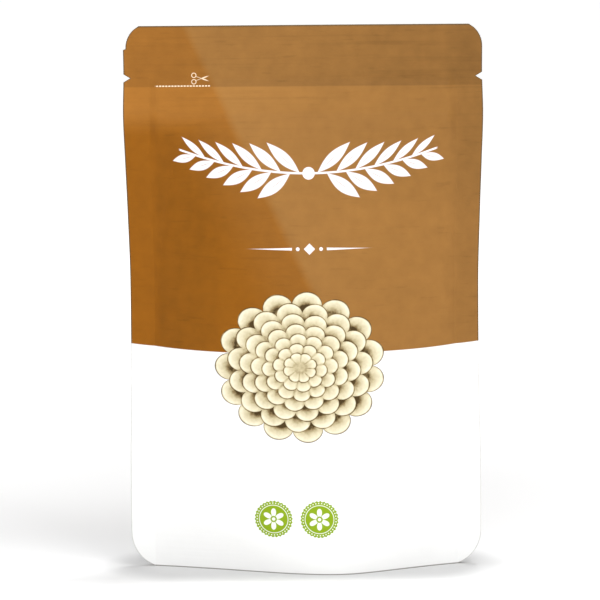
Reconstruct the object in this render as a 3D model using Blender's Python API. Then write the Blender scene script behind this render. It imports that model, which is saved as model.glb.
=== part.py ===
"""A sealed stand-up pouch holding 56 g of moringa kernels.

The bag is made of three webs of laminate film, heat sealed to each other: a front panel, a
back panel and a folded bottom gusset that opens so that the pouch stands on the lower rims
of its panels. A press-to-close zip, one ribbed strip and one grooved strip, lies inside
below the tear notches. The kernels lie on the gusset between the panels.

The frame: X runs across the pouch, the front panel faces -Y, +Z is up, and the origin is on
the surface that it stands on, midway between the panels. Lengths are in metres.
"""

import math
import random

import bmesh
import bpy
from mathutils import Vector
from mathutils.bvhtree import BVHTree

MM = 0.001

# The bag as it stands
HEIGHT = 198 * MM
FILM = 0.35 * MM  # thickness of one web of film
GAP = 0.3 * MM  # left between webs that are sealed together, and round each inner piece
SIDE_SEAL = 9 * MM
TOP_SEAL_START = 187.5 * MM

# Half of the bag's width at each height: the belly draws the edges in
EDGE = [
    (0 * MM, 64.3 * MM),
    (40 * MM, 64.1 * MM),
    (75 * MM, 63.4 * MM),
    (105 * MM, 63.3 * MM),
    (130 * MM, 63.9 * MM),
    (150 * MM, 64.6 * MM),
    (166 * MM, 65.1 * MM),
    (182 * MM, 64.7 * MM),
    (198 * MM, 64.8 * MM),
]

# Half of the free depth between the panels at mid width, at each height, over the sealed edge's
BELLY = [
    (0 * MM, 18.6 * MM),
    (14 * MM, 19.3 * MM),
    (34 * MM, 19.9 * MM),
    (54 * MM, 19.8 * MM),
    (82 * MM, 18.2 * MM),
    (110 * MM, 14.4 * MM),
    (134 * MM, 9.9 * MM),
    (152 * MM, 5.5 * MM),
    (163 * MM, 2.6 * MM),
    (167.5 * MM, 1.35 * MM),
    (176 * MM, 1.35 * MM),
    (180 * MM, 0.35 * MM),
    (184.5 * MM, 0.0),
    (198 * MM, 0.0),
]

# How round the belly's crest is at each height: a rounded corner at 0.1, a parabola above 1
ROUNDNESS = [(0 * MM, 0.36), (20 * MM, 0.55), (45 * MM, 1.0), (80 * MM, 1.6), (198 * MM, 2.0)]
FLARE = 0.32  # how much the bottom rim draws in towards the side seals, on an S-curve
FLARE_FADES = 45 * MM
BELLY_PEAK = 10 * MM  # the bottom rim bows out most this far right of the middle
PEAK_FADES = 85 * MM  # height at which the belly's crest is back in the middle
RIM = 0.5 * MM  # the panels and the gusset stand upright over this height above the surface
ZIP_SHOULDER = 4 * MM  # width over which the panels close beside the zip
ZIP_BLEND = (150 * MM, 167 * MM)  # the cross-section turns from belly to flat zip band here

# Die-cut corners and tear notches
TOP_CORNER = 9 * MM
TOP_CORNER_DROP = 8 * MM  # the corner arc's centre below the top edge
BOTTOM_CORNER = 13.3 * MM
BOTTOM_CORNER_RISE = 12.6 * MM  # the corner arc's centre above the bottom rim
CORNER_STEP = 0.9 * MM  # the left corner's die cut lies this far inside the edge
CORNER_STEP_HEIGHT = 189.5 * MM
NOTCH_HEIGHT = 179.2 * MM
NOTCH_HALF_WIDTH = 1.45 * MM
NOTCH_DEPTH = 2.4 * MM

# Bottom gusset
GUSSET_RISE = 28 * MM  # height of the gusset's fold at the sides
GUSSET_TAPER = 4 * MM  # the panels close in over the gusset seal's edge over this height
SEAL_AT_MIDDLE = 8 * MM  # height of the curved gusset seal at mid width
SEAL_CURVE = 2.2
FLOOR_CLEARANCE = 1.0 * MM  # the gusset's sagging middle above the surface
KEEL_FLAT = 0.08  # shares of the seal's half width between which the gusset's keel rises
KEEL_HIGH = 0.86
SAG_SQUARENESS = 2.6
CREASE_SQUARENESS = 1.2

# Press-to-close zip
ZIP_BOTTOM = 168.3 * MM
ZIP_TOP = 175.2 * MM
ZIP_HALF_LENGTH = 50.5 * MM
ZIP_HALF_DEPTH = 1.2 * MM
ZIP_FLANGE = 0.35 * MM
RIB_STEM = 0.3 * MM  # half heights of the rib's stem and head
RIB_HEAD = 0.55 * MM
HEAD_FROM, HEAD_TO = 0.2 * MM, 0.55 * MM
GROOVE_MOUTH = 0.6 * MM  # half heights of the groove's mouth, inside and outside
GROOVE_INSIDE = 0.85 * MM
GROOVE_OUTSIDE = 1.25 * MM
HOOK_FROM, HOOK_TO = -0.5 * MM, -0.1 * MM

# Kernels
KERNEL_RADIUS = 4.1 * MM
KERNEL_PITCH = 7.9 * MM
KERNEL_STRAY = 0.7 * MM  # how far a kernel lies from its place in the regular order
KERNEL_SEED = 56
KERNEL_SEGMENTS = 7
KERNEL_RINGS = 4
KERNEL_TIP = 1.12  # a kernel is a little longer than wide, with three blunt wings
KERNEL_WING = 0.07
FILL_HEIGHT = 50 * MM  # top of the heap at mid width
HEAP_CROWN = 5 * MM  # the heap is this much lower at its ends
HEAP_HALF_LENGTH = 43 * MM
CORE_SINK = 1.2 * MM  # the core's skin under the kernels' centres

# Colours, roughness
BROWN = (0.39, 0.165, 0.042)
WHITE = (0.86, 0.86, 0.85)
ZIP_COLOUR = (0.80, 0.80, 0.78)
KERNEL_COLOUR = (0.76, 0.66, 0.45)


def between(stations, at):
    """The value at a place along a list of (place, value) stations, on a smooth curve through
    them: cubic pieces whose slope at a station is the mean of its neighbours' slopes, and
    level where those slopes point opposite ways."""
    places = [p for p, _ in stations]
    values = [v for _, v in stations]
    at = min(max(at, places[0]), places[-1])
    slopes = [
        (values[i + 1] - values[i]) / (places[i + 1] - places[i])
        for i in range(len(places) - 1)
    ]

    def tangent(i):
        if i in (0, len(places) - 1):
            return slopes[min(i, len(slopes) - 1)]
        if slopes[i - 1] * slopes[i] <= 0:
            return 0.0
        return 2 * slopes[i - 1] * slopes[i] / (slopes[i - 1] + slopes[i])

    i = max(k for k in range(len(places) - 1) if places[k] <= at)
    span = places[i + 1] - places[i]
    t = (at - places[i]) / span
    return (
        (1 + 2 * t) * (1 - t) ** 2 * values[i]
        + t * (1 - t) ** 2 * span * tangent(i)
        + t * t * (3 - 2 * t) * values[i + 1]
        + t * t * (t - 1) * span * tangent(i + 1)
    )


def ease(t):
    """0 to 1 with level ends."""
    t = min(max(t, 0.0), 1.0)
    return t * t * (3 - 2 * t)


def seal_edge(z):
    """Distance of the side seals' inner edge from the middle."""
    return between(EDGE, z) - SIDE_SEAL


def cut_edge(z, side):
    """Distance of the film's cut edge from the middle on one side, -1 left or 1 right, with
    its round corners, the left corner's step and the tear notch."""
    edge = between(EDGE, z)
    if side < 0 and z > CORNER_STEP_HEIGHT:
        edge -= CORNER_STEP
    above = z - (HEIGHT - TOP_CORNER_DROP)
    below = BOTTOM_CORNER_RISE - z
    if above > 0:
        edge -= TOP_CORNER - math.sqrt(TOP_CORNER**2 - above**2)
    if below > 0:
        edge -= BOTTOM_CORNER - math.sqrt(BOTTOM_CORNER**2 - below**2)
    in_notch = 1 - abs(z - NOTCH_HEIGHT) / NOTCH_HALF_WIDTH
    return edge - NOTCH_DEPTH * max(in_notch, 0.0)


def free_half_depth(x, z):
    """Half of the distance between the panels' inner faces."""
    z = max(z, RIM)
    edge = seal_edge(z)
    over_gusset = z - gusset_seal_height(x) - GUSSET_TAPER / 2
    webs_between = (FILM + GAP) * ease(1 - over_gusset / GUSSET_TAPER)
    peak = BELLY_PEAK * ease(1 - z / PEAK_FADES)
    across = abs(x - peak) / (edge - peak if x > peak else edge + peak)
    if across >= 1:
        return GAP / 2 + webs_between
    roundness = between(ROUNDNESS, z)
    fall = math.hypot(across, roundness) - roundness
    fall /= math.hypot(1, roundness) - roundness
    belly = (1 - fall) * (1 - FLARE * ease(1 - z / FLARE_FADES) * fall)
    band = min((edge - abs(x)) / ZIP_SHOULDER, 1.0)
    flat = ease((z - ZIP_BLEND[0]) / (ZIP_BLEND[1] - ZIP_BLEND[0]))
    swell = (1 - flat) * belly + flat * band
    return GAP / 2 + webs_between + between(BELLY, z) * swell


def panel_heights():
    """The rows of a panel's mesh, closer where the outline or the belly turns."""
    corner = [0, RIM / MM, 2, 4.6, 8.2, BOTTOM_CORNER_RISE / MM]
    belly = [16, 20, 24, 28, 34, 42, 51, 60, 71, 82.5, 94, 105, 116, 126, 135, 143.5]
    shoulder = [151, 157.5, 163, 167.5, 176]
    notch = [(NOTCH_HEIGHT + side * NOTCH_HALF_WIDTH) / MM for side in (-1, 0, 1)]
    step = [CORNER_STEP_HEIGHT / MM, CORNER_STEP_HEIGHT / MM + 0.25]
    top = [184.5, TOP_SEAL_START / MM, *step, 192.5, 195, 197, HEIGHT / MM]
    return [height * MM for height in (*corner, *belly, *shoulder, *notch, *top)]


def shares_across():
    """The columns of a panel's mesh inside the side seals, as shares of the half width."""
    half = [0.14, 0.28, 0.42, 0.55, 0.67, 0.78, 0.87, 0.927, 1.0]
    return [-share for share in reversed(half)] + [0.0] + half


def material(name, colour, roughness):
    made = bpy.data.materials.new(name)
    made.use_nodes = True
    shader = made.node_tree.nodes["Principled BSDF"]
    shader.inputs["Base Color"].default_value = (*colour, 1)
    shader.inputs["Roughness"].default_value = roughness
    shader.inputs["Metallic"].default_value = 0.0
    made.diffuse_color = (*colour, 1)
    return made


def new_object(name, mesh, coat):
    made = bpy.data.objects.new(name, mesh)
    bpy.context.scene.collection.objects.link(made)
    mesh.materials.append(coat)
    return made


def sheet_mesh(name, rows):
    """A mesh over rows of points, each row as long as the next, faces seen from the side from
    which the rows run upwards and their points to the right."""
    width = len(rows[0])
    faces = [
        (r * width + c, r * width + c + 1, (r + 1) * width + c + 1, (r + 1) * width + c)
        for r in range(len(rows) - 1)
        for c in range(width - 1)
    ]
    mesh = bpy.data.meshes.new(name)
    mesh.from_pydata([point for row in rows for point in row], [], faces)
    return mesh


def thicken(sheet):
    """Gives a sheet the film's thickness, on the side that its faces point to."""
    film = sheet.modifiers.new("film", "SOLIDIFY")
    film.thickness = FILM
    film.offset = 1.0
    sheet.data.shade_smooth()
    return sheet


def panel(name, facing, printed):
    """One panel: facing is -1 for the front and 1 for the back. The base mesh is its inner
    face, and its thickness grows outwards."""
    rows = []
    for z in panel_heights():
        inside = [share * seal_edge(z) for share in shares_across()]
        across = [-cut_edge(z, -1), *inside, cut_edge(z, 1)]
        row = [(x, facing * free_half_depth(x, z), z) for x in across]
        rows.append(row if facing < 0 else row[::-1])
    return thicken(new_object(name, sheet_mesh(name, rows), printed))


def gusset_seal_height(x):
    """The curved seal between the gusset and the panels: low at mid width, and as high as the
    gusset's fold at the side seals."""
    share = min(abs(x) / seal_edge(GUSSET_RISE), 1.0)
    return SEAL_AT_MIDDLE + (GUSSET_RISE - SEAL_AT_MIDDLE) * share**SEAL_CURVE


def keel_height(x):
    """The gusset's middle line: pressed down by the kernels at mid width, and rising to its
    fold at the side seals."""
    share = min(abs(x) / seal_edge(GUSSET_RISE), 1.0)
    rise = ease((share - KEEL_FLAT) / (KEEL_HIGH - KEEL_FLAT))
    fold = GUSSET_RISE + FILM
    return FLOOR_CLEARANCE + (fold - FLOOR_CLEARANCE) * rise


def gusset_squareness(x):
    """The gusset's section is a soft sag at mid width and a sharp crease near the sides."""
    share = min(abs(x) / seal_edge(GUSSET_RISE), 1.0)
    sharp = ease((share - 0.2) / 0.4)
    return SAG_SQUARENESS + (CREASE_SQUARENESS - SAG_SQUARENESS) * sharp


def gusset_height(x, across):
    """Height of the gusset's underside at a share of its half depth, -1 to 1."""
    seal = gusset_seal_height(x)
    return seal + (keel_height(x) - seal) * (1 - abs(across) ** gusset_squareness(x))


def gusset_section(x, edge_share):
    """Points of the gusset's underside at one x, from the front rim up the front leaf, over the
    keel and down the back leaf. edge_share is 0 inside the side seals and 1 at the cut edge."""
    corner = BOTTOM_CORNER_RISE * edge_share
    seal = gusset_seal_height(x)

    def leaf_depth(z):
        return free_half_depth(x, z) - GAP - FILM

    leaf = [corner, corner + RIM, corner + (seal - corner) * 0.5, seal]
    front = [(x, -leaf_depth(z), z) for z in leaf]
    back = [(x, leaf_depth(z), z) for z in reversed(leaf)]
    steps = [-0.8, -0.55, -0.28, 0.0, 0.28, 0.55, 0.8]
    span = [(x, leaf_depth(seal) * y, gusset_height(x, y)) for y in steps]
    return front + span + back


def gusset(white):
    """The bottom gusset, one web folded upwards between the panels. The base mesh is its
    underside, and its thickness grows towards the panels and the inside of the bag."""
    edge = between(EDGE, 0)
    corner_columns = [(edge - BOTTOM_CORNER + BOTTOM_CORNER * math.sin(a), a) for a in (0.62, 1.0)]
    outer = []
    for x, angle in corner_columns:
        rise = BOTTOM_CORNER_RISE - BOTTOM_CORNER * math.cos(angle)
        outer.append((x, max(rise, 0.0) / BOTTOM_CORNER_RISE))
    outer.append((cut_edge(BOTTOM_CORNER_RISE, 1), 1.0))
    inner = [share * seal_edge(0) for share in shares_across()]
    columns = [(-x, share) for x, share in reversed(outer)]
    columns += [(x, 0.0) for x in inner]
    columns += outer
    rows = [gusset_section(x, share) for x, share in reversed(columns)]
    mesh = sheet_mesh("bottom_gusset", rows)
    return thicken(new_object("bottom_gusset", mesh, white))


def extruded_strip(name, profile, plastic):
    """A strip of one cross-section, given as (depth, height) points in order round it with the
    material on the left, run along X."""
    shape = bmesh.new()
    ends = [
        [shape.verts.new((x, depth, height)) for depth, height in profile]
        for x in (-ZIP_HALF_LENGTH, ZIP_HALF_LENGTH)
    ]
    for i in range(len(profile)):
        j = (i + 1) % len(profile)
        shape.faces.new((ends[0][i], ends[1][i], ends[1][j], ends[0][j]))
    shape.faces.new(ends[0])
    shape.faces.new(ends[1][::-1])
    bmesh.ops.recalc_face_normals(shape, faces=shape.faces)
    mesh = bpy.data.meshes.new(name)
    shape.to_mesh(mesh)
    shape.free()
    return new_object(name, mesh, plastic)


def zip_strips():
    """The two halves of the press-to-close zip, closed: a rib whose arrow head sits in a
    hooked groove."""
    middle = (ZIP_BOTTOM + ZIP_TOP) / 2
    front, back = -ZIP_HALF_DEPTH, ZIP_HALF_DEPTH
    rib_side = [
        (front, ZIP_TOP),
        (front, ZIP_BOTTOM),
        (front + ZIP_FLANGE, ZIP_BOTTOM),
        (front + ZIP_FLANGE, middle - RIB_STEM),
        (HEAD_FROM, middle - RIB_STEM),
        (HEAD_FROM, middle - RIB_HEAD),
        (HEAD_TO, middle - RIB_STEM),
    ]
    rib_top = [(depth, 2 * middle - height) for depth, height in reversed(rib_side[3:])]
    rib = extruded_strip(
        "zip_rib_strip",
        rib_side + rib_top + [(front + ZIP_FLANGE, ZIP_TOP)],
        material("zip rib plastic", ZIP_COLOUR, 0.35),
    )
    floor = back - ZIP_FLANGE
    groove_side = [
        (floor, ZIP_BOTTOM),
        (floor, middle - GROOVE_OUTSIDE),
        (HOOK_FROM, middle - GROOVE_OUTSIDE),
        (HOOK_FROM, middle - GROOVE_MOUTH),
        (HOOK_TO, middle - GROOVE_MOUTH),
        (HOOK_TO, middle - GROOVE_INSIDE),
        (floor, middle - GROOVE_INSIDE),
    ]
    groove_top = [(depth, 2 * middle - height) for depth, height in reversed(groove_side)]
    groove = extruded_strip(
        "zip_groove_strip",
        [(back, ZIP_TOP), (back, ZIP_BOTTOM), *groove_side, *groove_top],
        material("zip groove plastic", ZIP_COLOUR, 0.35),
    )
    return rib, groove


def heap_top(x):
    """Height of the heap of kernels."""
    return FILL_HEIGHT - HEAP_CROWN * (x / HEAP_HALF_LENGTH) ** 2


def heap_section(x, inset, points):
    """A closed loop round the heap at one x, in (y, z), about the given distance inside the
    film and below the heap's top: up the back, over the top, down the front and along the
    gusset."""
    seal = gusset_seal_height(x)
    low = max(seal, keel_height(x)) + inset
    high = max(heap_top(x) - inset, low + inset)
    heights = [low + (high - low) * k / (points - 1) for k in range(points)]
    depths = [max(free_half_depth(x, z) - inset, KERNEL_RADIUS / 2) for z in heights]
    up = list(zip(depths, heights))
    over = [(depths[-1] * share, high) for share in (0.5, 0.0, -0.5)]
    down = [(-depth, z) for depth, z in reversed(up)]
    reach = free_half_depth(x, seal)
    under = []
    for share in (-0.5, 0.0, 0.5):
        y = depths[0] * share
        under.append((y, gusset_height(x, y / reach) + FILM + inset))
    return up + over + down + under


def kernel(name, centre, turns):
    """One dehulled kernel: a round seed, a little longer than wide, with three blunt wings."""
    shape = bmesh.new()
    rings = []
    for r in range(1, KERNEL_RINGS):
        polar = math.pi * r / KERNEL_RINGS
        ring = []
        for s in range(KERNEL_SEGMENTS):
            angle = 2 * math.pi * s / KERNEL_SEGMENTS
            radius = KERNEL_RADIUS * math.sin(polar) * (1 + KERNEL_WING * math.cos(3 * angle))
            height = KERNEL_RADIUS * KERNEL_TIP * math.cos(polar)
            ring.append(
                shape.verts.new((radius * math.cos(angle), radius * math.sin(angle), height))
            )
        rings.append(ring)
    poles = [shape.verts.new((0, 0, side * KERNEL_RADIUS * KERNEL_TIP)) for side in (1, -1)]
    for s in range(KERNEL_SEGMENTS):
        t = (s + 1) % KERNEL_SEGMENTS
        shape.faces.new((poles[0], rings[0][s], rings[0][t]))
        shape.faces.new((poles[1], rings[-1][t], rings[-1][s]))
        for upper, lower in zip(rings, rings[1:]):
            shape.faces.new((upper[s], lower[s], lower[t], upper[t]))
    mesh = bpy.data.meshes.new(name)
    shape.to_mesh(mesh)
    shape.free()
    made = bpy.data.objects.new(name, mesh)
    made.location = centre
    made.rotation_euler = turns
    return made


def resampled(loop, pitch, shift):
    """Points a pitch apart along a closed loop of (y, z) points, starting a share of a pitch
    along it."""
    lengths = [math.dist(loop[i], loop[(i + 1) % len(loop)]) for i in range(len(loop))]
    total = sum(lengths)
    count = max(int(total / pitch), 1)
    points = []
    for k in range(count):
        along = (k + shift) * total / count
        i = 0
        while along > lengths[i]:
            along -= lengths[i]
            i += 1
        (y0, z0), (y1, z1) = loop[i], loop[(i + 1) % len(loop)]
        share = along / lengths[i]
        points.append((y0 + (y1 - y0) * share, z0 + (z1 - z0) * share))
    return points


def heap_core():
    """The inside of the heap: a loft through smaller sections, under the outer kernels."""
    inset = KERNEL_RADIUS + GAP + CORE_SINK
    stations = [HEAP_HALF_LENGTH * share for share in (-1, -0.75, -0.4, 0, 0.4, 0.75, 1)]
    loops = [heap_section(x, inset, 4) for x in stations]
    shape = bmesh.new()
    rings = [[shape.verts.new((x, y, z)) for y, z in loop] for x, loop in zip(stations, loops)]
    for near, far in zip(rings, rings[1:]):
        for i in range(len(near)):
            j = (i + 1) % len(near)
            shape.faces.new((near[i], near[j], far[j], far[i]))
    for ring in (rings[0], rings[-1]):
        middle = sum((v.co for v in ring), Vector()) / len(ring)
        tip = shape.verts.new(middle)
        for i in range(len(ring)):
            shape.faces.new((ring[i], ring[(i + 1) % len(ring)], tip))
    bmesh.ops.recalc_face_normals(shape, faces=shape.faces)
    mesh = bpy.data.meshes.new("kernels")
    shape.to_mesh(mesh)
    shape.free()
    return mesh


def film_faces(webs):
    """A search tree over the webs of film as they stand."""
    graph = bpy.context.evaluated_depsgraph_get()
    points, faces = [], []
    for web in webs:
        mesh = web.evaluated_get(graph).to_mesh()
        faces += [[len(points) + v for v in face.vertices] for face in mesh.polygons]
        points += [v.co.copy() for v in mesh.vertices]
        web.evaluated_get(graph).to_mesh_clear()
    return BVHTree.FromPolygons(points, faces)


def settled(place, film, distance):
    """A place moved off the film, a little at a time, until it is the distance from it."""
    place = Vector(place)
    for _ in range(12):
        on_film, _, _, near = film.find_nearest(place)
        if near >= distance:
            break
        place += (place - on_film).normalized() * (distance - near)
    return place


def keep_outer_skin(mesh):
    """Fills what a union has sealed off inside, by dropping every shell but the outer one."""
    shape = bmesh.new()
    shape.from_mesh(mesh)
    left = set(shape.verts)
    shells = []
    while left:
        shell, waiting = set(), [left.pop()]
        while waiting:
            vertex = waiting.pop()
            shell.add(vertex)
            near = {edge.other_vert(vertex) for edge in vertex.link_edges} & left
            left -= near
            waiting.extend(near)
        shells.append(shell)
    outer = max(shells, key=len)
    bmesh.ops.delete(
        shape, geom=[v for v in shape.verts if v not in outer], context="VERTS"
    )
    shape.to_mesh(mesh)
    shape.free()


def kernel_heap(webs, cream):
    """The kernels in the bag: those against the film and on top of the heap, sunk into a core
    that stands for the ones behind them, all joined in one solid."""
    film = film_faces(webs)
    chance = random.Random(KERNEL_SEED)
    heap = new_object("kernels", heap_core(), cream)
    placed = bpy.data.collections.new("kernels placed")
    bpy.context.scene.collection.children.link(placed)
    columns = int(2 * HEAP_HALF_LENGTH / KERNEL_PITCH) + 1
    inset = KERNEL_RADIUS * KERNEL_TIP + 1.5 * GAP
    for c in range(columns):
        x = -HEAP_HALF_LENGTH + 2 * HEAP_HALF_LENGTH * c / (columns - 1)
        loop = heap_section(x, inset, 6)
        for k, (y, z) in enumerate(resampled(loop, KERNEL_PITCH, 0.5 * (c % 2))):
            stray = [chance.uniform(-KERNEL_STRAY, KERNEL_STRAY) for _ in range(3)]
            centre = settled(Vector((x, y, z)) + Vector(stray), film, inset)
            turns = [chance.uniform(0, math.pi) for _ in range(3)]
            placed.objects.link(kernel(f"kernel {c} {k}", centre, turns))
    join = heap.modifiers.new("join", "BOOLEAN")
    join.operation = "UNION"
    join.operand_type = "COLLECTION"
    join.collection = placed
    join.solver = "MANIFOLD"
    graph = bpy.context.evaluated_depsgraph_get()
    joined = bpy.data.meshes.new_from_object(heap.evaluated_get(graph))
    heap.modifiers.clear()
    heap.data = joined
    for each in list(placed.objects):
        bpy.data.objects.remove(each)
    bpy.data.collections.remove(placed)
    keep_outer_skin(joined)
    return heap


def main():
    for old in list(bpy.data.objects):
        bpy.data.objects.remove(old)
    front = panel("front_panel", -1, material("front film", BROWN, 0.42))
    back = panel("back_panel", 1, material("back film", BROWN, 0.42))
    base = gusset(material("gusset film", WHITE, 0.42))
    zip_strips()
    kernel_heap([front, back, base], material("moringa kernel", KERNEL_COLOUR, 0.7))


main()
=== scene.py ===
"""A sealed stand-up pouch of moringa kernels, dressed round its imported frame.

The sections follow the pouch as it is put together: the studio that it is shown in, the
bottom gusset, the printed front panel, the back panel, the zip between them and the kernels
inside. X runs across the pouch, the front panel faces -Y and Z is up. Meshes are in metres,
and what the shaders draw on the film is in millimetres.
"""

import math

import bpy
import numpy as np
from mathutils import Matrix, Vector


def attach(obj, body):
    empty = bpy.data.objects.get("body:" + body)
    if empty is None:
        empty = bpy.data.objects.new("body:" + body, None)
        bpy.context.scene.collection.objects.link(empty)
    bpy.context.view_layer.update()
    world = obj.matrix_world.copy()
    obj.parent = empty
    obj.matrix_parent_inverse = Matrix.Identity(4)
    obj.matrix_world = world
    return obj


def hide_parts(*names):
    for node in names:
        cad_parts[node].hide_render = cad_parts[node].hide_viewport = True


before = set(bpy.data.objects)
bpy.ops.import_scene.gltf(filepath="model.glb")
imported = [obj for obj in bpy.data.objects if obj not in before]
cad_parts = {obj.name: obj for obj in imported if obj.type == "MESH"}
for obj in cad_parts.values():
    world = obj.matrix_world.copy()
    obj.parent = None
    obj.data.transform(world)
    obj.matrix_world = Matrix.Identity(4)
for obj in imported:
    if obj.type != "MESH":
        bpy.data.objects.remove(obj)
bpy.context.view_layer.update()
MM = 0.001


# The studio
# A camera in front of the pouch and a little above it, a wide sheet of white paper that glows
# of itself away from the pouch, and three soft lamps: two high ones before and behind it, and
# a broad one in front.

PICTURE_PIXELS = 600
CAMERA_AIM = Vector((0, 0, 99 * MM))
CAMERA_DISTANCE = 1.2
CAMERA_RISE = math.radians(7.5)
CAMERA_LEAN = math.radians(0.45)
CAMERA_LENS, CAMERA_SENSOR = 197.7, 36  # in millimetres
FRAME_MOVED = (4.5, 2.8)  # the aimed point's place right of and above the middle, in pixels
NEAREST_SEEN = 10 * MM

PAPER_WIDTH = 18
PAPER_FLAT = 4
PAPER_STEEPNESS = 0.05
PAPER_POINTS = 91
# The paper's grey, and the darker grey of the shadow painted round the pouch's foot.
PAPER_SHADE, PAPER_PAINTED_SHADOW_AT_FOOT = 0.96, 0.68
PAPER_GLOW_IN_FRONT, PAPER_GLOW_FAR = 0.3, 0.6
# A shadow is painted on the paper round the pouch's foot, measured from the foot's deep part.
FOOT_HALF_LENGTH = 45 * MM  # the foot's deep part ends this far from the middle
FOOT_PAINTED_SHADOW_ENDS = (16 * MM, 34 * MM)  # it fades between these distances from the deep part
FRONT_GLOW_STARTS = (21 * MM, 45 * MM)  # and each glow sets in between such distances
FAR_GLOW_STARTS = (0.1, 0.8)
WALL_GLOW = 0.39


class Signal:
    """A shader socket that takes part in sums: each operator adds a Math node."""

    def __init__(self, finish, socket):
        self.finish = finish
        self.socket = socket

    def math(self, operation, *values):
        sockets = dict(enumerate(values))
        return self.finish.node("ShaderNodeMath", {"operation": operation}, sockets)

    def __add__(self, other):
        return self.math("ADD", self, other)

    def __sub__(self, other):
        return self.math("SUBTRACT", self, other)

    def __rsub__(self, other):
        return self.math("SUBTRACT", other, self)

    def __mul__(self, other):
        return self.math("MULTIPLY", self, other)

    def __truediv__(self, other):
        return self.math("DIVIDE", self, other)

    def __pow__(self, other):
        return self.math("POWER", self, other)

    def __abs__(self):
        return self.math("ABSOLUTE", self)

    def sine(self):
        return self.math("SINE", self)

    def larger(self, other):
        return self.math("MAXIMUM", self, other)

    def smaller(self, other):
        return self.math("MINIMUM", self, other)

    __radd__ = __add__
    __rmul__ = __mul__


class Finish:
    """A material and the nodes that make it."""

    def __init__(self, name, roughness, specular):
        self.material = bpy.data.materials.new(name)
        self.material.use_nodes = True
        self.tree = self.material.node_tree
        self.shader = self.tree.nodes["Principled BSDF"]
        self.shader.inputs["Roughness"].default_value = roughness
        self.shader.inputs["Specular IOR Level"].default_value = specular

    def node(self, kind, settings, sockets, output=0):
        """A new node's output. Its settings are set first, then each socket gets its value or
        link."""
        made = self.tree.nodes.new(kind)
        for name, value in settings.items():
            if name == "stops":
                self.set_stops(made.color_ramp, value)
            else:
                setattr(made, name, value)
        for name, value in sockets.items():
            if isinstance(value, Signal):
                self.tree.links.new(value.socket, made.inputs[name])
            else:
                made.inputs[name].default_value = value
        return Signal(self, made.outputs[output])

    def set_stops(self, ramp, stops):
        while len(ramp.elements) < len(stops):
            ramp.elements.new(1.0)
        for element, (position, colour) in zip(ramp.elements, stops):
            element.position = position
            element.color = colour

    def feed(self, name, value):
        """Links a signal to the shader's socket of that name, or sets it to a plain value."""
        if isinstance(value, Signal):
            self.tree.links.new(value.socket, self.shader.inputs[name])
        else:
            self.shader.inputs[name].default_value = value

    def place(self):
        """The object's own coordinates as a vector."""
        return self.node("ShaderNodeTexCoord", {}, {}, "Object")

    def stretched(self, vector, scale):
        """A vector with each of its parts multiplied by a scale of its own."""
        return self.node("ShaderNodeVectorMath", {"operation": "MULTIPLY"}, {0: vector, 1: scale})

    def part_of(self, vector, axis):
        return self.node("ShaderNodeSeparateXYZ", {}, {"Vector": vector}, axis)

    def step(self, value, low, high):
        """0 under low, 1 over high, and an S-curve in between."""
        return self.node(
            "ShaderNodeMapRange",
            {"interpolation_type": "SMOOTHSTEP"},
            {"Value": value, "From Min": low, "From Max": high},
        )

    def mixed(self, share, first, second):
        """The first colour where share is 0 and the second where it is 1."""
        return self.node(
            "ShaderNodeMix", {"data_type": "RGBA"}, {"Factor": share, 6: first, 7: second}, 2
        )

    def noise(self, vector, scale, detail):
        return self.node(
            "ShaderNodeTexNoise", {}, {"Vector": vector, "Scale": scale, "Detail": detail}
        )

    def bump(self, height):
        """Tilts the surface as a height in millimetres would."""
        sockets = {"Height": height, "Distance": MM, "Strength": 1.0}
        self.feed("Normal", self.node("ShaderNodeBump", {}, sockets))


def grey(level):
    return (level, level, level, 1)


def new_piece(name, points, faces, material):
    """An object from an array of points and a list of faces."""
    mesh = bpy.data.meshes.new(name)
    mesh.from_pydata(points.reshape(-1, 3), [], faces)
    mesh.materials.append(material)
    mesh.shade_smooth()
    piece = bpy.data.objects.new(name, mesh)
    bpy.context.scene.collection.objects.link(piece)
    return piece


def grid_faces(rows, columns):
    """The four-cornered faces of a grid of points stored row by row."""
    corner = np.arange(rows * columns).reshape(rows, columns)
    around = (corner[:-1, :-1], corner[:-1, 1:], corner[1:, 1:], corner[1:, :-1])
    return np.stack(around, axis=-1).reshape(-1, 4)


def paper_bowl():
    """A square sheet that is level up to the flat radius. Outside that it rises with the
    square of the distance from there."""
    along = np.linspace(-PAPER_WIDTH / 2, PAPER_WIDTH / 2, PAPER_POINTS)
    x, y = np.meshgrid(along, along)
    z = PAPER_STEEPNESS * np.clip(np.hypot(x, y) - PAPER_FLAT, 0, None) ** 2
    return np.stack([x, y, z], axis=-1)


def white_paper():
    """Matt white paper with a shadow painted round the pouch's foot, that glows in front of it and
    more with the distance from the middle."""
    paper = Finish("lit paper", roughness=0.9, specular=0.1)
    across, deep = (paper.part_of(paper.place(), axis) for axis in "XY")
    beyond = (abs(across) - FOOT_HALF_LENGTH).larger(0)
    from_foot = (beyond * beyond + deep * deep) ** 0.5
    # A shadow painted into the paper's colour round the pouch's foot.
    clear = paper.step(from_foot, *FOOT_PAINTED_SHADOW_ENDS)
    paper.feed("Base Color", paper.mixed(clear, grey(PAPER_PAINTED_SHADOW_AT_FOOT), grey(PAPER_SHADE)))
    front = paper.step(deep * -1, *FRONT_GLOW_STARTS)
    far = paper.step((across * across + deep * deep) ** 0.5, *FAR_GLOW_STARTS)
    glow = paper.mixed(front, grey(0), grey(PAPER_GLOW_IN_FRONT))
    paper.feed("Emission Color", paper.mixed(far, glow, grey(PAPER_GLOW_FAR)))
    paper.feed("Emission Strength", 1.0)
    return paper.material


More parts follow.
